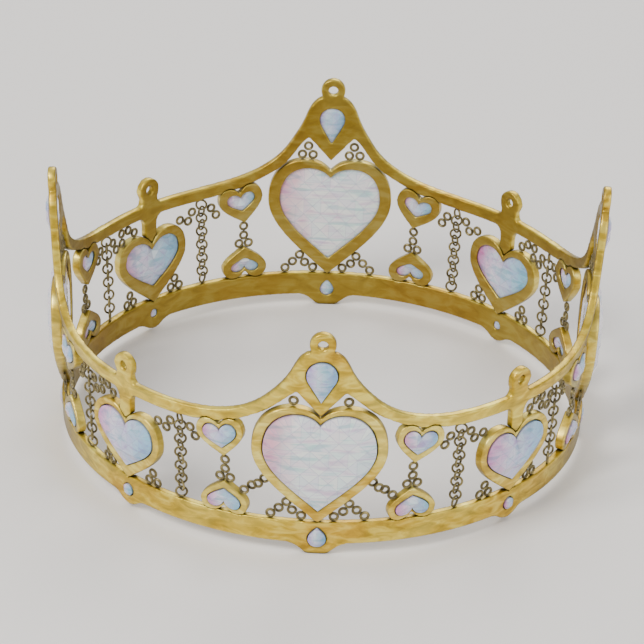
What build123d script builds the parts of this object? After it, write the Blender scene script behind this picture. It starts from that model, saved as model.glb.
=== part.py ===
"""Full-round heart crown: a lobed base band and a peaked top rail, joined by heart settings and chain.

Millimetres. +Z is up and the crown's front is -Y. The origin is on the crown's axis, in the plane of the four
flat feet it rests on. The wall between band and rail is a slightly flared cone. Azimuth is measured round it from
the front, positive towards +X, and heights are measured from the feet.
"""

import os
from math import asin, cos, degrees, radians, sin, tan
from typing import NamedTuple

from build123d import *

os.makedirs("parts", exist_ok=True)

# The wall
BASE_RADIUS = 74.6  # mean radius of the wall in the plane of the feet
FLARE = 3.5  # outward lean, degrees
WALL = 2.4  # radial thickness of the band and the rail
CUT_DEPTH = 30.0  # outlines are carried this far to each side of the wall, which covers its curve
FIT_GAP = 0.02  # solder gap between neighbouring pieces

# Where things stand round the wall, degrees
PANELS = {"front": 0, "right": 90, "back": 180, "left": 270}
CHAIN_SIDES = {
    "front": ("left", "right"),
    "right": ("front", "back"),
    "back": ("right", "left"),
    "left": ("back", "front"),
}
CORNERS = {"front_right": 45, "back_right": 135, "back_left": 225, "front_left": 315}
SMALL_HEART_AZIMUTH = 20.0
CHAIN_AZIMUTH = 30.5

# Base band
BAND_BOTTOM = 3.3
BAND_TOP = 10.5
STRIP_HALF_WIDTH = 32.0  # half width of each lobe's piece of band, a little over a sixteenth of the ring
PEAK_LOBE_RADIUS = 6.6
PEAK_LOBE_HEIGHT = 6.1  # height of the lobe's centre; its foot is cut flat at z = 0
CORNER_LOBE_RADIUS = 4.9
CORNER_LOBE_HEIGHT = 5.9
LOBE_BLEND = 6.0  # radius of the hollow where a lobe runs into the band
POCKET_FLOOR = -0.4  # floor of the gem pockets, measured outwards from the middle of the wall

# Top rail: half of one peak, as (distance from the peak's centre line, height)
RAIL_TOP_EDGE = (
    (6.7, 63.0),
    (8.7, 58.9),
    (11.5, 54.6),
    (15.0, 50.7),
    (18.5, 47.75),
    (23.0, 45.3),
    (27.0, 43.9),
    (31.0, 43.0),
    (37.0, 42.3),
)
RAIL_LOWER_EDGE = ((31.0, 39.3), (25.0, 40.9), (20.0, 43.2), (15.0, 46.1), (11.3, 49.2))
RAIL_TOP = 42.0  # edges of the rail at the corners, midway between peaks
RAIL_UNDERSIDE = 38.3
RAIL_LEVEL_FROM = 44.0  # the rail's edges are level from here to the corners
RAIL_HALF_WIDTH = 58.0  # each peak's outline runs this far, a little past the corners
HEAD_TOP = 65.6  # flat top of the front peak
HEAD_HALF_WIDTH = 4.0
HEAD_TIP = 45.3  # the head's pointed lower end, in the cleft of the large heart
HEAD_ARMPIT = (6.9, 53.0)  # where the pointed end meets the rail's underside
PEAK_RISE = {"front": 0.0, "right": 8.0, "back": 2.5, "left": 8.0}  # how much taller than the front peak
RISE_FULL = 6.0  # the rise is full up to this distance from the peak's centre line
RISE_REACH = 15.0  # and has died away at this one
NECK_TOP = 44.3  # flat top of the short neck at each corner
NECK_HALF_WIDTH = 2.9
NECK_FLARE = 7.0  # half width of the neck's foot, inside the rail
TAB_BOTTOM = 29.8  # the corner tab hangs from the rail into the cleft of the heart below it
TAB_HALF_WIDTH = 2.2
TAB_FLARE = 7.0  # half width of the tab's root, inside the rail
TAB_STRAIGHT_FROM = 34.3  # the tab's sides are straight below this height
ROOT_DEPTH = 0.8  # how deep the neck's foot and the tab's root lie inside the rail

# Loops
LOOP_RADIUS = 3.7
LOOP_THICKNESS = 2.4
PEAK_LOOP_HEIGHT = 68.2
PEAK_LOOP_HOLE = 1.45
CORNER_LOOP_HEIGHT = 46.8
CORNER_LOOP_HOLE = 1.3

# Chain and filler rings. Ring radii are measured to the middle of the wire.
LINK_RADIUS = 1.55
LINK_WIRE = 0.32  # radius of the wire
LINK_TURN = 30.0  # links are turned this far from lying along the wall, alternately to one side and the other
LINK_PITCH = 2.2
INNER_LINKS = 10  # free links between the two soldered end links
LINK_GAP = 0.05  # gap between the lower end link and the band
CHAIN_BOTTOM = BAND_TOP + LINK_RADIUS + LINK_WIRE + LINK_GAP  # height of the lower end link's centre
FILLER_RADIUS = 1.1
FILLER_WIRE = 0.4
BRACE_DEPTH = 0.43  # brace rings lie alternately this far inside and outside the middle of the wall

# Filler rings, as (distance round the wall from the named azimuth, height)
SMALL_HEART_SPOTS = ((-1.53, 21.46), (1.53, 21.46), (0.0, 24.1), (0.0, 27.14))
LARGE_FOOT_SPOTS = ((4.55, 12.05), (7.13, 13.68), (8.75, 16.25), (10.88, 14.06), (13.15, 12.05))
MEDIUM_FOOT_SPOTS = ((7.6, 12.05), (10.65, 12.05), (9.12, 14.69))
CHAIN_SIDE_SPOTS = ((-3.3, 34.9), (-4.9, 32.35), (3.3, 34.9), (4.7, 32.2), (7.6, 33.2))
CORNER_SPOTS = ((6.2, 34.7), (8.8, 36.3), (11.85, 36.3))
BRACE_SPOTS = ((15.2, 22.88), (16.8, 21.5), (18.75, 20.1), (20.7, 18.7))
PEAK_SPOTS = {
    "front": ((7.6, 49.75),),
    "back": ((5.55, 49.55), (8.8, 49.72), (7.0, 52.4)),
    "side": (
        (1.53, 48.1),
        (4.5, 49.3),
        (7.5, 49.78),
        (10.55, 49.55),
        (2.85, 51.9),
        (6.0, 52.45),
        (9.15, 52.35),
        (4.5, 55.1),
        (7.6, 55.05),
    ),
}


class HeartSetting(NamedTuple):
    """A heart bezel and the seat cut into it, both standing on the bezel's outer tip."""

    width: float
    height: float
    cleft: float  # depth of the cleft between the lobes, as a share of the height
    seat_width: float
    seat_height: float
    seat_cleft: float
    seat_rise: float  # from the outer tip to the seat's tip
    back: float  # the bezel's faces, measured outwards from the middle of the wall
    front: float


LARGE_TIP = 10.4
LARGE = HeartSetting(37.8, 37.3, 0.085, 31.6, 31.1, 0.10, 4.2, -1.8, 1.4)
MEDIUM_TIP = 9.8
MEDIUM = HeartSetting(27.0, 23.2, 0.17, 22.4, 16.9, 0.22, 4.3, -1.6, 1.3)
UPPER_TIP = 28.7
UPPER_TILT = 9.0  # the upper small hearts lean square to the sloping rail
UPPER = HeartSetting(14.0, 12.2, 0.20, 10.0, 7.5, 0.28, 2.9, -1.5, 1.2)
LOWER_TIP = 20.6  # the lower small hearts hang upside down from their tips
LOWER = HeartSetting(14.0, 10.3, 0.26, 9.9, 6.3, 0.36, 2.5, -1.5, 1.2)

LEDGE = 0.9  # thickness of the ledge behind each gem
LEDGE_WIDTH = 0.6
GEM_CLEARANCE = 0.06
GEM_EDGE = 0.2  # a gem's straight edge stands this far out of its bezel
CROWN_RISE = 0.5  # height of a heart gem's bevelled top, plus a share of its width
CROWN_SHARE = 0.04
TABLE_SHARE = 0.62  # size of a gem's flat top against its outline

# Teardrop settings in the peaks, and the small gems in the band
TEAR_HEIGHT = 58.7  # centre of the round end of the front teardrop
TEAR_RADIUS = 5.6
TEAR_LENGTH = 10.9  # from the centre of the round end to the tip
TEAR_SEAT_RADIUS = 4.35
TEAR_SEAT_LENGTH = 8.6
TEAR_BACK, TEAR_FRONT = -1.2, 1.3
TEAR_CROWN_RISE = 1.0
BAND_TEAR_HEIGHT = 5.1
BAND_TEAR_RADIUS = 2.6
BAND_TEAR_LENGTH = 3.9
BAND_ROUND_RADIUS = 1.85
BAND_CROWN_RISE = 0.7


def outwards(azimuth):
    """Level direction from the crown's axis at an azimuth."""
    return Vector(sin(radians(azimuth)), -cos(radians(azimuth)), 0)


def leaning(azimuth, height=0.0, depth=0.0, turn=0.0):
    """Plane on the middle of the wall: x along it, y up it and z outwards, turned about its own z."""
    tangent = Plane(
        origin=outwards(azimuth) * BASE_RADIUS,
        x_dir=outwards(azimuth + 90),
        z_dir=outwards(azimuth) * cos(radians(FLARE)) - Vector(0, 0, sin(radians(FLARE))),
    )
    return Plane(tangent.location * Location((0, height, depth), (0, 0, turn)))


def shifted(plane, up, out):
    """The plane moved along its own y and z."""
    return Plane(plane.location * Location((0, up, out)))


def upright(azimuth):
    """Vertical plane standing inside the wall, for outlines that are cut straight outwards through it."""
    return Plane(
        origin=outwards(azimuth) * (BASE_RADIUS - CUT_DEPTH),
        x_dir=outwards(azimuth + 90),
        z_dir=outwards(azimuth),
    )


def wall_radius(height):
    """Mean radius of the wall at a height above the feet."""
    return BASE_RADIUS + height * tan(radians(FLARE))


def wall_shell(bottom, top):
    """The whole conical wall between two heights."""
    with BuildPart() as shell:
        with BuildSketch(Plane.XZ):
            with BuildLine():
                Polyline(
                    (wall_radius(bottom) - WALL / 2, bottom),
                    (wall_radius(bottom) + WALL / 2, bottom),
                    (wall_radius(top) + WALL / 2, top),
                    (wall_radius(top) - WALL / 2, top),
                    close=True,
                )
            make_face()
        revolve(axis=Axis.Z)
    return shell.part


def heart(width, height, cleft):
    """Heart sketch with its tip at the origin and its lobes up."""
    half = width / 2
    notch, shoulder = 1 - cleft, 0.66
    crest = (8 - notch - shoulder) / 6  # control height that brings the lobes' tops to the full height
    with BuildSketch() as outline:
        with BuildLine():
            Bezier(
                (0, notch * height),
                (0.2 * half, crest * height),
                (half, crest * height),
                (half, shoulder * height),
            )
            Bezier((half, shoulder * height), (half, 0.42 * height), (0.42 * half, 0.2 * height), (0, 0))
            mirror(about=Plane.YZ)
        make_face()
    return outline.sketch


def teardrop(radius, length):
    """Teardrop sketch: round end centred on the origin, tip straight below it."""
    lean = asin(radius / length)
    side = Vector(radius * cos(lean), -radius * sin(lean))
    with BuildSketch() as outline:
        with BuildLine():
            ThreePointArc(side, (0, radius), (-side.X, side.Y))
            Polyline((-side.X, side.Y), (0, -length), side)
        make_face()
    return outline.sketch


def heart_bezel(plane, setting):
    """Heart bezel with a stepped hole: the gem's seat in front and a narrower window behind it."""
    depth = setting.front - setting.back
    with BuildPart() as bezel:
        with BuildSketch(shifted(plane, 0, setting.back)):
            add(heart(setting.width, setting.height, setting.cleft))
        extrude(amount=depth)
        with BuildSketch(shifted(plane, setting.seat_rise, setting.back + LEDGE)):
            add(heart(setting.seat_width, setting.seat_height, setting.seat_cleft))
        extrude(amount=depth, mode=Mode.SUBTRACT)
        with BuildSketch(shifted(plane, setting.seat_rise + 2 * LEDGE_WIDTH, setting.back)):
            width = setting.seat_width - 2 * LEDGE_WIDTH
            height = setting.seat_height - 3 * LEDGE_WIDTH
            add(heart(width, height, setting.seat_cleft))
        extrude(amount=LEDGE, mode=Mode.SUBTRACT)
    return bezel.part


def heart_blank(plane, setting):
    """The space a heart setting takes out of the band and the rail, with its solder gap."""
    with BuildPart() as blank:
        with BuildSketch(shifted(plane, -2 * FIT_GAP, setting.back - FIT_GAP)):
            add(heart(setting.width + 2 * FIT_GAP, setting.height + 4 * FIT_GAP, setting.cleft))
        extrude(amount=setting.front - setting.back + 2 * FIT_GAP)
    return blank.part


def heart_gem(plane, setting):
    """Heart gem: a straight edge in the seat, then a bevel up to a smaller flat top."""
    width = setting.seat_width - 2 * GEM_CLEARANCE
    height = setting.seat_height - 3 * GEM_CLEARANCE
    rise = setting.seat_rise + 1.5 * GEM_CLEARANCE
    bottom = setting.back + LEDGE + FIT_GAP
    shoulder = setting.front + GEM_EDGE
    top = shoulder + CROWN_RISE + CROWN_SHARE * width
    with BuildPart() as gem:
        with BuildSketch(shifted(plane, rise, bottom)):
            add(heart(width, height, setting.seat_cleft))
        extrude(amount=shoulder - bottom)
        with BuildSketch(shifted(plane, rise, shoulder)):
            add(heart(width, height, setting.seat_cleft))
        with BuildSketch(shifted(plane, rise + 0.58 * height * (1 - TABLE_SHARE), top)):
            add(heart(width * TABLE_SHARE, height * TABLE_SHARE, setting.seat_cleft))
        loft()
    return gem.part


def teardrop_prism(plane, radius, length, back, front):
    """Straight teardrop block between two depths."""
    with BuildPart() as block:
        with BuildSketch(shifted(plane, 0, back)):
            add(teardrop(radius, length))
        extrude(amount=front - back)
    return block.part


def teardrop_gem(plane, radius, length, bottom, shoulder, top):
    """Teardrop gem with a bevelled top."""
    with BuildPart() as gem:
        with BuildSketch(shifted(plane, 0, bottom)):
            add(teardrop(radius, length))
        extrude(amount=shoulder - bottom)
        with BuildSketch(shifted(plane, 0, shoulder)):
            add(teardrop(radius, length))
        with BuildSketch(shifted(plane, 0, top)):
            add(teardrop(radius * TABLE_SHARE, length * TABLE_SHARE))
        loft()
    return gem.part


def loop(plane, hole_radius, seat_height):
    """Upright loop with a round hole, cut level where it is soldered on."""
    with BuildPart() as eye:
        with BuildSketch(plane):
            Circle(LOOP_RADIUS)
            Circle(hole_radius, mode=Mode.SUBTRACT)
        extrude(amount=LOOP_THICKNESS / 2, both=True)
        split(bisect_by=Plane.XY.offset(seat_height + FIT_GAP), keep=Keep.TOP)
    return eye.part


def ring(plane, radius, wire, turn=0.0):
    """Round wire ring lying in the plane, or turned out of it about the plane's y."""
    axis = plane.x_dir * sin(radians(turn)) + plane.z_dir * cos(radians(turn))
    with BuildPart(Plane(origin=plane.origin, x_dir=plane.y_dir, z_dir=axis)) as hoop:
        Torus(radius, wire)
    return hoop.part


def fillers(spots, centre=0.0, depths=(0.0,)):
    """Flat filler rings. Each spot is (distance round the wall from the centre azimuth, height)."""
    rings = []
    for number, (along, height) in enumerate(spots):
        azimuth = centre + degrees(along / wall_radius(height))
        depth = depths[number % len(depths)]
        rings.append(ring(leaning(azimuth, height, depth), FILLER_RADIUS, FILLER_WIRE))
    return rings


def mirrored(shapes, plane=Plane.YZ):
    """The shapes and their mirror images."""
    return shapes + [shape.mirror(plane) for shape in shapes]


def at_panels(shapes, panels=PANELS):
    """Copies of front-panel shapes turned to each of the named panels."""
    return [shape.rotate(Axis.Z, PANELS[panel]) for panel in panels for shape in shapes]


def lobed_strip(azimuth, radius, height):
    """A straight-cut piece of the base band with one lobe, its foot cut flat."""
    with BuildPart() as strip:
        with BuildSketch(upright(azimuth)) as outline:
            with Locations((0, (BAND_BOTTOM + BAND_TOP) / 2)):
                Rectangle(2 * STRIP_HALF_WIDTH, BAND_TOP - BAND_BOTTOM)
            with Locations((0, height)):
                Circle(radius)
            edge = outline.vertices().filter_by_position(Axis.Y, BAND_BOTTOM - 0.1, BAND_BOTTOM + 0.1)
            fillet(edge.filter_by_position(Axis.X, -radius, radius), LOBE_BLEND)
            with Locations((0, -radius), (0, BAND_TOP + radius)):
                Rectangle(4 * radius, 2 * radius, mode=Mode.SUBTRACT)
        extrude(amount=2 * CUT_DEPTH)
    return strip.part


def round_prism(plane, radius, back, front):
    """Straight round block between two depths."""
    with BuildPart() as block:
        with BuildSketch(shifted(plane, 0, back)):
            Circle(radius)
        extrude(amount=front - back)
    return block.part


def round_gem(plane, radius, bottom, shoulder, top):
    """Round gem with a bevelled top."""
    with BuildPart() as gem:
        with BuildSketch(shifted(plane, 0, bottom)):
            Circle(radius)
        extrude(amount=shoulder - bottom)
        with BuildSketch(shifted(plane, 0, shoulder)):
            Circle(radius)
        with BuildSketch(shifted(plane, 0, top)):
            Circle(radius * TABLE_SHARE)
        loft()
    return gem.part


def rise_at(distance, rise):
    """How much of a peak's extra height is left at a distance from its centre line."""
    return rise * min(1, max(0, (RISE_REACH - distance) / (RISE_REACH - RISE_FULL)))


def peak(azimuth, rise):
    """The rail round one peak, from corner to corner."""
    top = [(x, z + rise_at(x, rise)) for x, z in RAIL_TOP_EDGE]
    lower = [(x, z + rise_at(x, rise)) for x, z in RAIL_LOWER_EDGE]
    head_corner = (HEAD_HALF_WIDTH, HEAD_TOP + rise)
    armpit = (HEAD_ARMPIT[0], HEAD_ARMPIT[1] + rise)
    with BuildPart() as quarter:
        with BuildSketch(upright(azimuth)):
            with BuildLine():
                Line((0, HEAD_TOP + rise), head_corner)
                Spline(head_corner, *top, (RAIL_LEVEL_FROM, RAIL_TOP))
                Polyline(
                    (RAIL_LEVEL_FROM, RAIL_TOP),
                    (RAIL_HALF_WIDTH, RAIL_TOP),
                    (RAIL_HALF_WIDTH, RAIL_UNDERSIDE),
                    (RAIL_LEVEL_FROM, RAIL_UNDERSIDE),
                )
                Spline((RAIL_LEVEL_FROM, RAIL_UNDERSIDE), *lower, armpit, tangents=((-1, 0), (-1, 0.8)))
                Line(armpit, (0, HEAD_TIP + rise))
                mirror(about=Plane.YZ)
            make_face()
        extrude(amount=2 * CUT_DEPTH)
        for corner in (azimuth - 45, azimuth + 45):
            split(bisect_by=Plane(origin=(0, 0, 0), z_dir=outwards(corner)), keep=Keep.TOP)
    return quarter.part


def corner_piece(azimuth):
    """The neck above the rail at a corner and the tab below it."""
    foot = (NECK_FLARE, RAIL_TOP - ROOT_DEPTH)
    root = (TAB_FLARE, RAIL_UNDERSIDE + ROOT_DEPTH)
    with BuildPart() as piece:
        with BuildSketch(upright(azimuth)):
            with BuildLine():
                Line((0, NECK_TOP), (NECK_HALF_WIDTH, NECK_TOP))
                neck_curve = ((NECK_HALF_WIDTH, RAIL_TOP), (NECK_HALF_WIDTH + ROOT_DEPTH, RAIL_TOP))
                Bezier((NECK_HALF_WIDTH, NECK_TOP), *neck_curve, foot)
                Line(foot, root)
                tab_curve = ((TAB_HALF_WIDTH + 2 * ROOT_DEPTH, RAIL_UNDERSIDE), (TAB_HALF_WIDTH, RAIL_UNDERSIDE))
                Bezier(root, *tab_curve, (TAB_HALF_WIDTH, TAB_STRAIGHT_FROM))
                Line((TAB_HALF_WIDTH, TAB_STRAIGHT_FROM), (TAB_HALF_WIDTH, TAB_BOTTOM))
                Line((TAB_HALF_WIDTH, TAB_BOTTOM), (0, TAB_BOTTOM))
                mirror(about=Plane.YZ)
            make_face()
        extrude(amount=2 * CUT_DEPTH)
    return piece.part


def save(name, shapes):
    """Writes one node: a single solid, or several separate solids that share the node."""
    solids = [solid for shape in shapes for solid in shape.solids()]
    node = solids[0] if len(solids) == 1 else Compound(solids)
    node.label = name
    export_step(node, f"parts/{name}.step")


# Heart settings and their gems
for name, azimuth in PANELS.items():
    save(f"{name}_large_heart_bezel", [heart_bezel(leaning(azimuth, LARGE_TIP), LARGE)])
    save(f"{name}_large_heart_gem", [heart_gem(leaning(azimuth, LARGE_TIP), LARGE)])

for name, azimuth in CORNERS.items():
    save(f"{name}_heart_bezel", [heart_bezel(leaning(azimuth, MEDIUM_TIP), MEDIUM)])
    save(f"{name}_heart_gem", [heart_gem(leaning(azimuth, MEDIUM_TIP), MEDIUM)])

upper_plane = leaning(SMALL_HEART_AZIMUTH, UPPER_TIP, turn=-UPPER_TILT)
lower_plane = leaning(SMALL_HEART_AZIMUTH, LOWER_TIP, turn=180)
save("upper_small_heart_bezels", at_panels(mirrored([heart_bezel(upper_plane, UPPER)])))
save("upper_small_heart_gems", at_panels(mirrored([heart_gem(upper_plane, UPPER)])))
save("lower_small_heart_bezels", at_panels(mirrored([heart_bezel(lower_plane, LOWER)])))
save("lower_small_heart_gems", at_panels(mirrored([heart_gem(lower_plane, LOWER)])))

blanks = [heart_blank(leaning(azimuth, LARGE_TIP), LARGE) for azimuth in PANELS.values()]
blanks += [heart_blank(leaning(azimuth, MEDIUM_TIP), MEDIUM) for azimuth in CORNERS.values()]
blanks += at_panels(mirrored([heart_blank(upper_plane, UPPER), heart_blank(lower_plane, LOWER)]))

# Teardrop settings in the peaks
tear_blanks = []
for name, azimuth in PANELS.items():
    plane = leaning(azimuth, TEAR_HEIGHT + PEAK_RISE[name])
    window = (plane, TEAR_SEAT_RADIUS - LEDGE_WIDTH, TEAR_SEAT_LENGTH - 1.5 * LEDGE_WIDTH)
    with BuildPart() as collar:
        add(teardrop_prism(plane, TEAR_RADIUS, TEAR_LENGTH, TEAR_BACK, TEAR_FRONT))
        seat = teardrop_prism(plane, TEAR_SEAT_RADIUS, TEAR_SEAT_LENGTH, TEAR_BACK + LEDGE, TEAR_FRONT)
        add(seat, mode=Mode.SUBTRACT)
        add(teardrop_prism(*window, TEAR_BACK, TEAR_BACK + LEDGE), mode=Mode.SUBTRACT)
    save(f"{name}_teardrop_bezel", [collar.part])
    gem = teardrop_gem(
        plane,
        TEAR_SEAT_RADIUS - GEM_CLEARANCE,
        TEAR_SEAT_LENGTH - 1.5 * GEM_CLEARANCE,
        TEAR_BACK + LEDGE + FIT_GAP,
        TEAR_FRONT + GEM_EDGE,
        TEAR_FRONT + GEM_EDGE + TEAR_CROWN_RISE,
    )
    save(f"{name}_teardrop_gem", [gem])
    blank_size = (TEAR_RADIUS + FIT_GAP, TEAR_LENGTH + 2 * FIT_GAP)
    tear_blanks.append(teardrop_prism(plane, *blank_size, -WALL, WALL))

# Base band: eight lobed strips cut to the wall, then the gem pockets and the heart tips let in
gem_levels = (POCKET_FLOOR + FIT_GAP, WALL / 2 + GEM_EDGE, WALL / 2 + GEM_EDGE + BAND_CROWN_RISE)
band_peak_gems = []
band_corner_gems = []
with BuildPart() as base_band:
    for azimuth in PANELS.values():
        add(lobed_strip(azimuth, PEAK_LOBE_RADIUS, PEAK_LOBE_HEIGHT))
    for azimuth in CORNERS.values():
        add(lobed_strip(azimuth, CORNER_LOBE_RADIUS, CORNER_LOBE_HEIGHT))
    add(wall_shell(0, BAND_TOP), mode=Mode.INTERSECT)
    for azimuth in PANELS.values():
        plane = leaning(azimuth, BAND_TEAR_HEIGHT, turn=180)
        radius, length = BAND_TEAR_RADIUS, BAND_TEAR_LENGTH
        add(teardrop_prism(plane, radius, length, POCKET_FLOOR, WALL), mode=Mode.SUBTRACT)
        window = (radius - LEDGE_WIDTH, length - 1.5 * LEDGE_WIDTH)
        add(teardrop_prism(plane, *window, -WALL, POCKET_FLOOR), mode=Mode.SUBTRACT)
        gem_size = (radius - GEM_CLEARANCE, length - 1.5 * GEM_CLEARANCE)
        band_peak_gems.append(teardrop_gem(plane, *gem_size, *gem_levels))
    for azimuth in CORNERS.values():
        plane = leaning(azimuth, CORNER_LOBE_HEIGHT)
        add(round_prism(plane, BAND_ROUND_RADIUS, POCKET_FLOOR, WALL), mode=Mode.SUBTRACT)
        add(round_prism(plane, BAND_ROUND_RADIUS - LEDGE_WIDTH, -WALL, POCKET_FLOOR), mode=Mode.SUBTRACT)
        band_corner_gems.append(round_gem(plane, BAND_ROUND_RADIUS - GEM_CLEARANCE, *gem_levels))
    for blank in blanks:
        add(blank, mode=Mode.SUBTRACT)
save("base_band", [base_band.part])
save("band_peak_gems", band_peak_gems)
save("band_corner_gems", band_corner_gems)

# Top rail: the four peaks and the corner pieces between them, cut to the wall, then the settings let in
with BuildPart() as top_rail:
    for name, azimuth in PANELS.items():
        add(peak(azimuth, PEAK_RISE[name]))
    for azimuth in CORNERS.values():
        add(corner_piece(azimuth))
    add(wall_shell(TAB_BOTTOM, HEAD_TOP + max(PEAK_RISE.values())), mode=Mode.INTERSECT)
    for blank in blanks + tear_blanks:
        add(blank, mode=Mode.SUBTRACT)
save("top_rail", [top_rail.part])

# Loops
for name, azimuth in PANELS.items():
    plane = leaning(azimuth, PEAK_LOOP_HEIGHT + PEAK_RISE[name])
    save(f"{name}_peak_loop", [loop(plane, PEAK_LOOP_HOLE, HEAD_TOP + PEAK_RISE[name])])
for name, azimuth in CORNERS.items():
    save(f"{name}_loop", [loop(leaning(azimuth, CORNER_LOOP_HEIGHT), CORNER_LOOP_HOLE, NECK_TOP)])

# Chains: the end links are soldered to the band and the rail, the links between them turn with the chain
end_links = []
for name, azimuth in PANELS.items():
    for side, offset in zip(CHAIN_SIDES[name], (-CHAIN_AZIMUTH, CHAIN_AZIMUTH)):
        links = []
        for number in range(INNER_LINKS + 2):
            plane = leaning(azimuth + offset, CHAIN_BOTTOM + number * LINK_PITCH)
            links.append(ring(plane, LINK_RADIUS, LINK_WIRE, LINK_TURN * (-1) ** number))
        end_links += [links[0], links[-1]]
        save(f"{name}_chain_{side}", links[1:-1])
save("chain_end_links", end_links)

# Filler rings
save("small_heart_link_rings", at_panels(mirrored(fillers(SMALL_HEART_SPOTS, SMALL_HEART_AZIMUTH))))
save("large_heart_foot_rings", at_panels(mirrored(fillers(LARGE_FOOT_SPOTS))))
save("medium_heart_foot_rings", at_panels(mirrored(fillers(MEDIUM_FOOT_SPOTS, -45))))
save("chain_side_rings", at_panels(mirrored(fillers(CHAIN_SIDE_SPOTS, CHAIN_AZIMUTH))))
save("front_brace_rings", mirrored(fillers(BRACE_SPOTS, depths=(-BRACE_DEPTH, BRACE_DEPTH))))
save("corner_rings", mirrored(mirrored(fillers(CORNER_SPOTS, 45)), Plane.XZ))
peak_rings = []
for name in PANELS:
    spots = PEAK_SPOTS["side" if name in ("left", "right") else name]
    peak_rings += at_panels(mirrored(fillers(spots)), [name])
save("peak_rings", peak_rings)
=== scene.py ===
"""Looks for the heart crown: soft cast gold, faceted iridescent crystals and antiqued chain.

The metal castings are the CAD solids, melted together and rounded. The stones are cut anew inside the
outlines of the CAD gems. Chains and small rings keep their CAD meshes.
"""

from math import cos, radians, sin

import bmesh
import bpy
from mathutils import Matrix, Vector
from mathutils.geometry import delaunay_2d_cdt


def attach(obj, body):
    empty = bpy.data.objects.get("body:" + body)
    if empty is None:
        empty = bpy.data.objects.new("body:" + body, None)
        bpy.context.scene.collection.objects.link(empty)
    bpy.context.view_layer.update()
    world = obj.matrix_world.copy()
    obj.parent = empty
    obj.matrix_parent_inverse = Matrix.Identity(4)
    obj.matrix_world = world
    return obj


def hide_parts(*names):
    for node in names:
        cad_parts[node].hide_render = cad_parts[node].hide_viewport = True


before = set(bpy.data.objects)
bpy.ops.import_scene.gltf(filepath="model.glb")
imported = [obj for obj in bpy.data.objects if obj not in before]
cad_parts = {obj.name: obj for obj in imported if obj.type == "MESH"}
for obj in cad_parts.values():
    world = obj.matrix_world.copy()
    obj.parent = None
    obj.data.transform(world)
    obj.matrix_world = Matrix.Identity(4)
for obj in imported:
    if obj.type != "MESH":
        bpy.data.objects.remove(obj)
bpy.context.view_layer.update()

MM = 0.001
MERGE = 0.002 * MM  # corners closer than this are one
ON_RIM = 0.03 * MM  # a corner this near the outline of a stone's back stands over it
PANELS = ("front", "right", "back", "left")
CORNERS = ("front_right", "back_right", "back_left", "front_left")

# Castings are remeshed at a voxel size and smoothed in passes, so that edges and joints come out soft
BAND_VOXEL = 0.36 * MM
RAIL_VOXEL = 0.34 * MM
BEZEL_VOXEL = 0.27 * MM
FRAME_PASSES = 12  # band and rail
LARGE_PASSES = 24  # large heart settings
MEDIUM_PASSES = 20
SMALL_PASSES = 12

# Stones
LARGE_PITCH = 3.7 * MM  # width of a facet
MEDIUM_PITCH = 3.2 * MM
SMALL_PITCH = 2.0 * MM  # small hearts and the teardrops in the peaks
BAND_PEAK_PITCH = 1.3 * MM
BAND_CORNER_PITCH = 1.1 * MM
RIM_SHARE = 0.5  # length of the facets' edges along a stone's rim, against their pitch
RIM_MARGIN = 0.55  # inner corners stay this far from the rim, against the pitch
RIM_HEIGHT = 0.42  # height of the dome over the rim's farthest point, as a share of the crown
BACK_FACING = -0.99  # the flat back's faces look against a stone's outward axis by more than this
SHARP_TURN = radians(30)  # an outline's corners turn more than this
PAVILION = 0.9 * MM  # how far a stone bulges out of its back
PAVILION_SHARE = 0.4  # and how far at most, against half of its width
FLAT_ANGLE = radians(1.2)  # neighbouring faces that differ less than this are one facet
LINE_SHARE = 0.03  # width of the polished line along a facet's edge, against the pitch of the facets
GOLDEN = 0.618  # spreads the facets' tints evenly

# Light
BOX_AIM = Vector((0, 0, 0.03))
WORLD_LOW = (0.42, 0.42, 0.43, 1.0)
WORLD_HIGH = (0.95, 0.96, 0.98, 1.0)
WORLD_STRENGTH = 0.85
FLOOR_SIZE = 12

# Camera
TARGET_HEIGHT = 6.1 * MM  # the view is measured from the crown's axis, level with the lobe gems
CAMERA_DISTANCE = 1221 * MM
CAMERA_ELEVATION = radians(29.2)
CAMERA_AZIMUTH = radians(0.14)
CAMERA_ROLL = radians(2.0)
CLIP_END = 20.0
LENS = 232.0
SENSOR = 36.0
SHIFT = 0.125


def colour(code):
    """Linear RGBA from an sRGB hex code."""
    channels = [int(code[i : i + 2], 16) / 255 for i in (0, 2, 4)]
    return tuple(c / 12.92 if c <= 0.04045 else ((c + 0.055) / 1.055) ** 2.4 for c in channels) + (1.0,)


# ---------------------------------------------------------------- shader building


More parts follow.
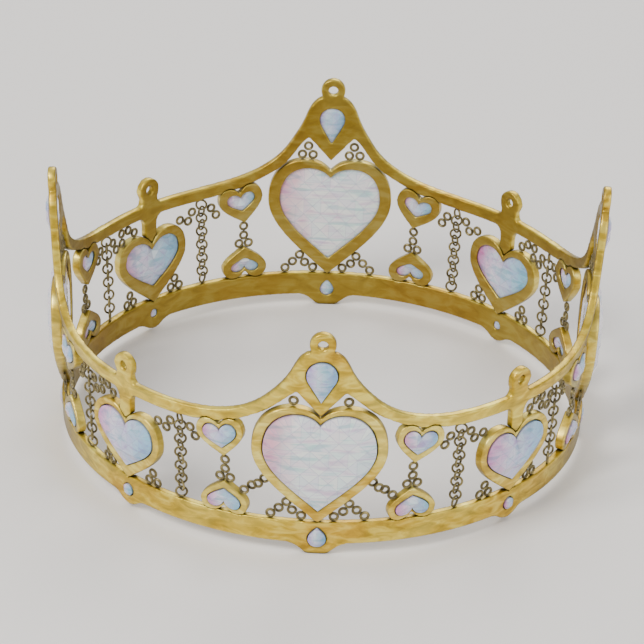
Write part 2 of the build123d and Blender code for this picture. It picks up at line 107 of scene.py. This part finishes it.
class Shader:
    """A node material that is built up call by call."""

    def __init__(self, name):
        self.material = bpy.data.materials.new(name)
        self.material.use_nodes = True
        self.nodes = self.material.node_tree.nodes
        self.links = self.material.node_tree.links
        self.surface = self.nodes["Principled BSDF"]

    def plug(self, value, socket):
        """Connects an output, or sets a constant."""
        if isinstance(value, bpy.types.NodeSocket):
            self.links.new(value, socket)
        else:
            socket.default_value = value

    def set(self, **values):
        """Sets inputs of the Principled surface; underscores stand for spaces."""
        for name, value in values.items():
            self.plug(value, self.surface.inputs[name.replace("_", " ")])

    def math(self, operation, a, b=0.0, clamp=False):
        node = self.nodes.new("ShaderNodeMath")
        node.operation = operation
        node.use_clamp = clamp
        self.plug(a, node.inputs[0])
        self.plug(b, node.inputs[1])
        return node.outputs[0]

    def vector(self, operation, a, b=(0.0, 0.0, 0.0)):
        node = self.nodes.new("ShaderNodeVectorMath")
        node.operation = operation
        self.plug(a, node.inputs[0])
        self.plug(b, node.inputs[1])
        return node.outputs["Value" if operation == "DOT_PRODUCT" else "Vector"]

    def noise(self, scale, detail=3.0, where=None, distortion=0.0):
        node = self.nodes.new("ShaderNodeTexNoise")
        node.inputs["Scale"].default_value = scale
        node.inputs["Detail"].default_value = detail
        node.inputs["Distortion"].default_value = distortion
        if where is not None:
            self.links.new(where, node.inputs["Vector"])
        return node.outputs["Fac"]

    def ramp(self, value, *stops):
        """Colour ramp; each stop is (position, colour code)."""
        node = self.nodes.new("ShaderNodeValToRGB")
        while len(node.color_ramp.elements) < len(stops):
            node.color_ramp.elements.new(0.5)
        for element, (position, code) in zip(node.color_ramp.elements, stops):
            element.position = position
            element.color = colour(code)
        self.links.new(value, node.inputs["Fac"])
        return node.outputs["Color"]

    def mix(self, amount, a, b, blend="MIX"):
        node = self.nodes.new("ShaderNodeMix")
        node.data_type = "RGBA"
        node.blend_type = blend
        self.plug(amount, node.inputs["Factor"])
        self.plug(a, node.inputs["A"])
        self.plug(b, node.inputs["B"])
        return node.outputs["Result"]

    def bump(self, height, strength, distance):
        node = self.nodes.new("ShaderNodeBump")
        node.inputs["Strength"].default_value = strength
        node.inputs["Distance"].default_value = distance
        self.links.new(height, node.inputs["Height"])
        self.links.new(node.outputs["Normal"], self.surface.inputs["Normal"])

    def position(self):
        return self.nodes.new("ShaderNodeTexCoord").outputs["Object"]

    def geometry(self, output):
        return self.nodes.new("ShaderNodeNewGeometry").outputs[output]

    def attribute(self, name):
        node = self.nodes.new("ShaderNodeAttribute")
        node.attribute_name = name
        return node.outputs["Fac"]

    def facing(self):
        """0 where the surface faces the eye, 1 where it turns away."""
        return self.nodes.new("ShaderNodeLayerWeight").outputs["Facing"]

    def turned(self, angle, stretch):
        """Object coordinates turned about the y axis and squeezed, for diagonal streaks."""
        node = self.nodes.new("ShaderNodeMapping")
        node.inputs["Rotation"].default_value = (0.0, angle, 0.0)
        node.inputs["Scale"].default_value = stretch
        self.links.new(self.position(), node.inputs["Vector"])
        return node.outputs["Vector"]

    def hollow(self, distance):
        """Mask for painted shade: 1 in crevices, 0 on open surfaces."""
        node = self.nodes.new("ShaderNodeAmbientOcclusion")
        node.inputs["Distance"].default_value = distance
        node.samples = 8
        return self.math("SUBTRACT", 1.0, node.outputs["AO"])

    def inward(self):
        """How far the surface faces the crown's axis, from -1 to 1."""
        level = self.vector("MULTIPLY", self.position(), (1.0, 1.0, 0.0))
        radial = self.vector("NORMALIZE", level)
        facing = self.vector("DOT_PRODUCT", self.geometry("Normal"), radial)
        return self.math("MULTIPLY", facing, -1.0)


def gold(name, light, mid, deep, roughness):
    """Satin gold with soft streaks between painted shade and painted highlight tones, painted olive shade in
    its hollows and at its turned edges, and painted brown shade on inner faces.
    """
    shader = Shader(name)
    stretched = shader.vector("MULTIPLY", shader.position(), (1.0, 1.0, 2.6))
    streaks = shader.noise(150.0, 5.0, stretched, 0.9)
    patches = shader.noise(46.0, 2.0, shader.position(), 0.3)
    # Random streaks from a painted shade tone (deep) through the gold's own tone (mid) to a painted
    # highlight tone (light)
    body = shader.ramp(streaks, (0.34, deep), (0.50, mid), (0.64, light))
    warm = shader.ramp(patches, (0.40, light), (0.54, mid), (0.68, "cf962a"))
    body = shader.mix(0.35, body, warm)
    # Painted shade: faces turned towards the crown's axis are darkened to brown
    inner = shader.math("MULTIPLY", shader.inward(), 0.72, clamp=True)
    body = shader.mix(inner, body, colour("74590f"))
    # Painted shade: olive darkening where the surface turns away from the eye, for the drawn outline
    edge = shader.ramp(shader.facing(), (0.55, "000000"), (0.93, "ffffff"))
    body = shader.mix(edge, body, colour("6b5a12"))
    # Painted shade: crevices and joints are darkened to dark olive
    crevice_shade = shader.math("MULTIPLY", shader.hollow(1.5 * MM), 1.25, clamp=True)
    body = shader.mix(crevice_shade, body, colour("4b4413"))
    shader.set(Base_Color=body, Metallic=0.72, Coat_Weight=0.10, Coat_Roughness=0.25)
    grain = shader.noise(900.0, 2.0, shader.position())
    shader.set(Roughness=shader.math("ADD", shader.math("MULTIPLY", grain, 0.14), roughness))
    shader.bump(shader.mix(0.5, shader.noise(420.0, 3.0, shader.position()), streaks), 0.22, 0.12 * MM)
    return shader.material


def antique(name):
    """Olive antiqued wire, brighter in random patches of painted highlight and nearly black with painted
    shade in its hollows.
    """
    shader = Shader(name)
    # Tone in random patches, from dark olive up to a painted highlight tone
    sheen_noise = shader.noise(650.0, 4.0, shader.position())
    tone = shader.ramp(sheen_noise, (0.3, "4a4128"), (0.55, "7b6f47"), (0.75, "b3a268"))
    # Painted shade: hollows between the rings are darkened nearly to black
    crevice_shade = shader.math("MULTIPLY", shader.hollow(0.8 * MM), 1.3, clamp=True)
    shader.set(Base_Color=shader.mix(crevice_shade, tone, colour("2c2712")), Metallic=0.6, Roughness=0.36)
    shader.bump(shader.noise(1500.0, 2.0, shader.position()), 0.2, 0.05 * MM)
    return shader.material


def crystal(name, left, middle, right, tint):
    """Coated crystal: pale, tinted across the stone and from facet to facet, with fine diagonal streaks and
    painted shadow near its setting.
    """
    shader = Shader(name)
    across = shader.math("ADD", shader.math("MULTIPLY", shader.attribute("across"), 0.5), 0.5)
    wander = shader.math("MULTIPLY", shader.noise(110.0, 3.0, shader.position(), 0.6), 0.4)
    place = shader.math("ADD", across, shader.math("SUBTRACT", wander, 0.2), clamp=True)
    base = shader.ramp(place, (0.05, left), (0.34, middle), (0.90, right))
    facet = shader.vector("DOT_PRODUCT", shader.geometry("True Normal"), (7.3, 3.1, 9.7))
    turned = shader.math("MULTIPLY", facet, 0.3)
    cycle = shader.math("FRACT", shader.math("ADD", turned, shader.attribute("facet")))
    tints = ((0.0, "f6dcee"), (0.25, "fbfcfa"), (0.5, "cdebef"), (0.75, "dcd3f2"), (1.0, "f6dcee"))
    flash = shader.ramp(cycle, *tints)
    base = shader.mix(tint, base, flash, "MULTIPLY")
    lines = shader.noise(240.0, 4.0, shader.turned(0.7, (0.35, 1.0, 2.2)), 0.4)
    streaks = shader.ramp(lines, (0.36, "a9d9de"), (0.46, "ffffff"), (0.56, "ffffff"), (0.68, "dcb4dc"))
    base = shader.mix(0.65, base, streaks, "MULTIPLY")
    base = shader.mix(shader.math("MULTIPLY", shader.attribute("line"), 0.7), base, colour("a9a6c6"))
    # Painted shadow: the stone is greyed near its rim, where its setting shades it
    rim = shader.math("MULTIPLY", shader.hollow(0.8 * MM), 0.6, clamp=True)
    base = shader.mix(rim, base, colour("9a8f8c"))
    shader.set(
        Base_Color=base,
        Roughness=0.09,
        IOR=1.55,
        Transmission_Weight=0.12,
        Coat_Weight=0.8,
        Coat_Roughness=0.04,
        Thin_Film_Thickness=410.0,
        Thin_Film_IOR=1.38,
    )
    shader.bump(lines, 0.05, 0.05 * MM)
    return shader.material


# ---------------------------------------------------------------- pieces


def joined(nodes):
    """One mesh from several CAD nodes, with coincident corners merged."""
    work = bmesh.new()
    for node in nodes:
        work.from_mesh(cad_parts[node].data)
    bmesh.ops.remove_doubles(work, verts=work.verts, dist=MERGE)
    work.verts.index_update()
    work.faces.index_update()
    return work


def piece(name, mesh, material, body, nodes):
    """Puts a finished mesh in the scene on its body, standing for its CAD nodes."""
    mesh.materials.clear()
    mesh.materials.append(material)
    thing = bpy.data.objects.new(name, mesh)
    bpy.context.scene.collection.objects.link(thing)
    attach(thing, body)
    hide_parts(*nodes)
    return thing


def cast(name, nodes, voxel, passes, material):
    """Metal castings: CAD solids melted together at their joints and rounded along their edges."""
    work = joined(nodes)
    mesh = bpy.data.meshes.new(name)
    work.to_mesh(mesh)
    work.free()
    rough = bpy.data.objects.new(name + "_rough", mesh)
    bpy.context.scene.collection.objects.link(rough)
    remesh = rough.modifiers.new("Remesh", "REMESH")
    remesh.mode = "VOXEL"
    remesh.voxel_size = voxel
    smooth = rough.modifiers.new("Smooth", "SMOOTH")
    smooth.factor = 0.5
    smooth.iterations = passes
    bpy.context.view_layer.update()
    evaluated = rough.evaluated_get(bpy.context.evaluated_depsgraph_get())
    finished = bpy.data.meshes.new_from_object(evaluated)
    bpy.data.objects.remove(rough)
    for face in finished.polygons:
        face.use_smooth = True
    return piece(name, finished, material, "crown", nodes)


def islands(work):
    """The separate solids of a merged mesh, as lists of vertices."""
    left = set(work.verts)
    groups = []
    for start in work.verts:
        if start not in left:
            continue
        left.discard(start)
        group, queue = [start], [start]
        while queue:
            for edge in queue.pop().link_edges:
                for vert in edge.verts:
                    if vert in left:
                        left.discard(vert)
                        group.append(vert)
                        queue.append(vert)
        groups.append(group)
    return groups


def faces_round(group):
    """The faces at these corners, always in the same order."""
    faces = {face for vert in group for face in vert.link_faces}
    return sorted(faces, key=lambda face: face.index)


def stone_frame(group):
    """Local axes of a stone (across, up, out), from its flat back."""
    centre = sum((vert.co for vert in group), Vector()) / len(group)
    radial = Vector((centre.x, centre.y, 0)).normalized()
    areas = {}
    for face in faces_round(group):
        if face.normal.dot(radial) < -0.9:
            key = tuple(round(c, 3) for c in face.normal)
            areas.setdefault(key, [0.0, face.normal.copy()])[0] += face.calc_area()
    out = -max(areas.values(), key=lambda entry: entry[0])[1].normalized()
    across = Vector((0, 0, 1)).cross(-out).normalized()
    across = -across if across.cross(out).z > 0 else across
    return across, out.cross(across), out


def back_outline(group, axes):
    """The stone's outline as ordered flat points, with the levels of its back, shoulder and top."""
    across, up, out = axes
    follows = {}
    for face in faces_round(group):
        if face.normal.dot(out) > BACK_FACING:
            continue
        for loop in face.loops:
            if loop.link_loop_radial_next.face.normal.dot(out) > BACK_FACING:
                follows[loop.link_loop_next.vert] = loop.vert
    rim = [next(iter(follows))]
    while follows[rim[-1]] is not rim[0]:
        rim.append(follows[rim[-1]])
    flat = [Vector((across.dot(vert.co), up.dot(vert.co))) for vert in rim]
    levels = [out.dot(vert.co) for vert in group]
    shoulder = min(levels)
    for vert, level in zip(group, levels):
        point = Vector((across.dot(vert.co), up.dot(vert.co)))
        if level > shoulder and min((point - p).length for p in flat) < ON_RIM:
            shoulder = level
    return flat, min(levels), shoulder, max(levels)


def resample(rim, step):
    """Points at an even step round a closed outline, keeping its sharp corners."""
    size = len(rim)
    corners = [i for i in range(size) if turn_at(rim, i) > SHARP_TURN] or [0]
    result = []
    for start, stop in zip(corners, corners[1:] + [corners[0] + size]):
        run = [rim[i % size] for i in range(start, stop + 1)]
        lengths = [(b - a).length for a, b in zip(run, run[1:])]
        steps = max(2, round(sum(lengths) / step))
        result += [point_along(run, lengths, sum(lengths) * k / steps) for k in range(steps)]
    return result


def turn_at(rim, i):
    """How sharply a closed outline turns at one of its points."""
    before = rim[i] - rim[i - 1]
    after = rim[(i + 1) % len(rim)] - rim[i]
    return before.angle(after, 0.0)


def point_along(run, lengths, reach):
    """The point at a distance along a run of points."""
    for i, length in enumerate(lengths):
        if reach <= length:
            return run[i].lerp(run[i + 1], reach / max(length, 1e-9))
        reach -= length
    return run[-1]


def inside(point, outline, margin):
    """Whether a point is inside a closed outline, and at least a margin from it."""
    crossings = 0
    for a, b in zip(outline, outline[1:] + outline[:1]):
        span = b - a
        share = min(1.0, max(0.0, (point - a).dot(span) / max(span.length_squared, 1e-18)))
        if (point - a - span * share).length < margin:
            return False
        if (a.y > point.y) != (b.y > point.y):
            crossings += point.x < a.x + (point.y - a.y) * span.x / span.y
    return crossings % 2 == 1


def grid(outline, centre, pitch):
    """Corners of a diagonal grid well inside an outline; over a domed top its cells are flat facets."""
    reach = int(max((p - centre).length for p in outline) / pitch) + 1
    points = []
    for i in range(-reach, reach + 1):
        for j in range(-reach, reach + 1):
            point = centre + Vector((i - j, i + j)) * pitch / 2**0.5
            if inside(point, outline, RIM_MARGIN * pitch):
                points.append(point)
    return points


def cut_stone(work, group, pitch, layer):
    """Adds a chequer-cut stone in place of a plain CAD one: straight girdle, domed crown and pavilion."""
    axes = stone_frame(group)
    across, up, out = axes
    rim, back, shoulder, top = back_outline(group, axes)
    rim = resample(rim, RIM_SHARE * pitch)
    centre = sum(rim, Vector((0, 0))) / len(rim)
    radius = max((p - centre).length for p in rim)
    half = max(abs(p.x - centre.x) for p in rim)
    sign = -1.0 if sum(vert.co.y for vert in group) > 0 else 1.0

    def corner(point, level):
        vert = work.verts.new(across * point.x + up * point.y + out * level)
        vert[layer] = sign * (point.x - centre.x) / half
        return vert

    def cap(edge, level, rise):
        """Facets between the girdle's edge and a domed grid of corners."""
        points = grid(rim, centre, pitch)
        fall = (1 - RIM_HEIGHT) / radius**2
        inner = [corner(p, level + rise * (1 - fall * (p - centre).length_squared)) for p in points]
        faces = delaunay_2d_cdt(rim + points, [], [list(range(len(rim)))], 1, 1e-9)[2]
        corners = edge + inner
        for face in faces:
            work.faces.new([corners[i] for i in face])

    bottom = [corner(p, back) for p in rim]
    girdle = [corner(p, shoulder) for p in rim]
    for i in range(len(rim)):
        j = (i + 1) % len(rim)
        work.faces.new((bottom[i], bottom[j], girdle[j], girdle[i]))
    cap(girdle, shoulder, top - shoulder)
    cap(bottom, back, -min(PAVILION, PAVILION_SHARE * half))


def stones(name, nodes, pitch, material):
    """Chequer-cut stones for every solid in these CAD nodes."""
    source = joined(nodes)
    source.normal_update()
    work = bmesh.new()
    layer = work.verts.layers.float.new("across")
    for group in islands(source):
        cut_stone(work, group, pitch, layer)
    source.free()
    bmesh.ops.dissolve_limit(work, angle_limit=FLAT_ANGLE, verts=work.verts, edges=work.edges)
    bmesh.ops.recalc_face_normals(work, faces=work.faces)
    facet = work.faces.layers.float.new("facet")
    line = work.faces.layers.float.new("line")
    for number, face in enumerate(work.faces):
        face[facet] = number * GOLDEN % 1
    borders = bmesh.ops.inset_individual(work, faces=work.faces, thickness=pitch * LINE_SHARE)["faces"]
    for face in borders:
        face[line] = 1.0
    mesh = bpy.data.meshes.new(name)
    work.to_mesh(mesh)
    work.free()
    return piece(name, mesh, material, "crown", nodes)


# ---------------------------------------------------------------- the crown

rail_gold = gold("rail_gold", "f2de66", "cfae32", "927818", 0.32)
bezel_gold = gold("bezel_gold", "f6e57e", "d9ba44", "a68a26", 0.30)
wire = antique("antique_wire")
clear = crystal("clear_crystal", "f0b4c8", "fcfbfb", "f8fcfb", 0.40)
rosy = crystal("rosy_crystal", "e893c8", "efe6f5", "9fd0ec", 0.45)
icy = crystal("icy_crystal", "cdb4e6", "e3edf6", "94bfe6", 0.50)

heads = [f"{side}_{part}" for side in PANELS for part in ("peak_loop", "teardrop_bezel")]
corner_loops = [f"{corner}_loop" for corner in CORNERS]
cast("base_band_cast", ["base_band"], BAND_VOXEL, FRAME_PASSES, rail_gold)
cast("top_rail_cast", ["top_rail"] + heads + corner_loops, RAIL_VOXEL, FRAME_PASSES, rail_gold)
for side in PANELS:
    cast(f"{side}_large_heart_setting", [f"{side}_large_heart_bezel"], BEZEL_VOXEL, LARGE_PASSES, bezel_gold)
    stones(f"{side}_large_heart_stone", [f"{side}_large_heart_gem"], LARGE_PITCH, clear)
    stones(f"{side}_teardrop_stone", [f"{side}_teardrop_gem"], SMALL_PITCH, icy)
for corner in CORNERS:
    cast(f"{corner}_heart_setting", [f"{corner}_heart_bezel"], BEZEL_VOXEL, MEDIUM_PASSES, bezel_gold)
    stones(f"{corner}_heart_stone", [f"{corner}_heart_gem"], MEDIUM_PITCH, rosy)
for level in ("upper", "lower"):
    settings = (f"{level}_small_heart_settings", [f"{level}_small_heart_bezels"])
    cast(*settings, BEZEL_VOXEL, SMALL_PASSES, bezel_gold)
    stones(f"{level}_small_heart_stones", [f"{level}_small_heart_gems"], SMALL_PITCH, rosy)
stones("band_peak_stones", ["band_peak_gems"], BAND_PEAK_PITCH, icy)
stones("band_corner_stones", ["band_corner_gems"], BAND_CORNER_PITCH, rosy)

for name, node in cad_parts.items():
    if "chain" in name or name.endswith("_rings"):
        node.data.materials.clear()
        node.data.materials.append(wire)
        for face in node.data.polygons:
            face.use_smooth = True

# ---------------------------------------------------------------- floor, light and camera


def plain(name, code, roughness):
    """A dull material of one colour."""
    shader = Shader(name)
    shader.set(Base_Color=colour(code), Roughness=roughness, Specular_IOR_Level=0.2)
    return shader.material


bpy.ops.mesh.primitive_plane_add(size=FLOOR_SIZE, location=(0, 0, 0))
floor = bpy.context.object
floor.name = "floor"
floor.data.materials.append(plain("floor", "ece8e4", 0.85))


def softbox(name, place, size, power, tint=(1.0, 1.0, 1.0)):
    """A square area light aimed at the crown."""
    lamp = bpy.data.lights.new(name, "AREA")
    lamp.size = size
    lamp.energy = power
    lamp.color = tint
    thing = bpy.data.objects.new(name, lamp)
    thing.location = place
    thing.rotation_euler = (BOX_AIM - Vector(place)).to_track_quat("-Z", "Y").to_euler()
    bpy.context.scene.collection.objects.link(thing)


softbox("key", (-0.75, -0.65, 1.05), 0.6, 17, (1.0, 0.985, 0.95))
softbox("fill", (0.95, -0.75, 0.60), 0.9, 6.5, (0.96, 0.98, 1.0))
softbox("back", (0.25, 1.05, 0.80), 0.8, 8)

world = bpy.data.worlds.new("studio")
bpy.context.scene.world = world
world.use_nodes = True
sky = world.node_tree
height = sky.nodes.new("ShaderNodeSeparateXYZ")
fade = sky.nodes.new("ShaderNodeValToRGB")
fade.color_ramp.elements[0].color = WORLD_LOW
fade.color_ramp.elements[1].color = WORLD_HIGH
sky.links.new(sky.nodes.new("ShaderNodeTexCoord").outputs["Generated"], height.inputs["Vector"])
sky.links.new(height.outputs["Z"], fade.inputs["Fac"])
sky.links.new(fade.outputs["Color"], sky.nodes["Background"].inputs["Color"])
sky.nodes["Background"].inputs["Strength"].default_value = WORLD_STRENGTH

lens = bpy.data.cameras.new("camera")
lens.lens = LENS
lens.sensor_width = SENSOR
lens.clip_end = CLIP_END
lens.shift_y = SHIFT
camera = bpy.data.objects.new("camera", lens)
aim = Vector((0, 0, TARGET_HEIGHT))
toward = Vector(
    (
        sin(CAMERA_AZIMUTH) * cos(CAMERA_ELEVATION),
        -cos(CAMERA_AZIMUTH) * cos(CAMERA_ELEVATION),
        sin(CAMERA_ELEVATION),
    )
)
camera.location = aim + toward * CAMERA_DISTANCE
upright = toward.to_track_quat("Z", "Y").to_matrix()
camera.rotation_euler = (upright @ Matrix.Rotation(CAMERA_ROLL, 3, "Z")).to_euler()
bpy.context.scene.collection.objects.link(camera)
bpy.context.scene.camera = camera
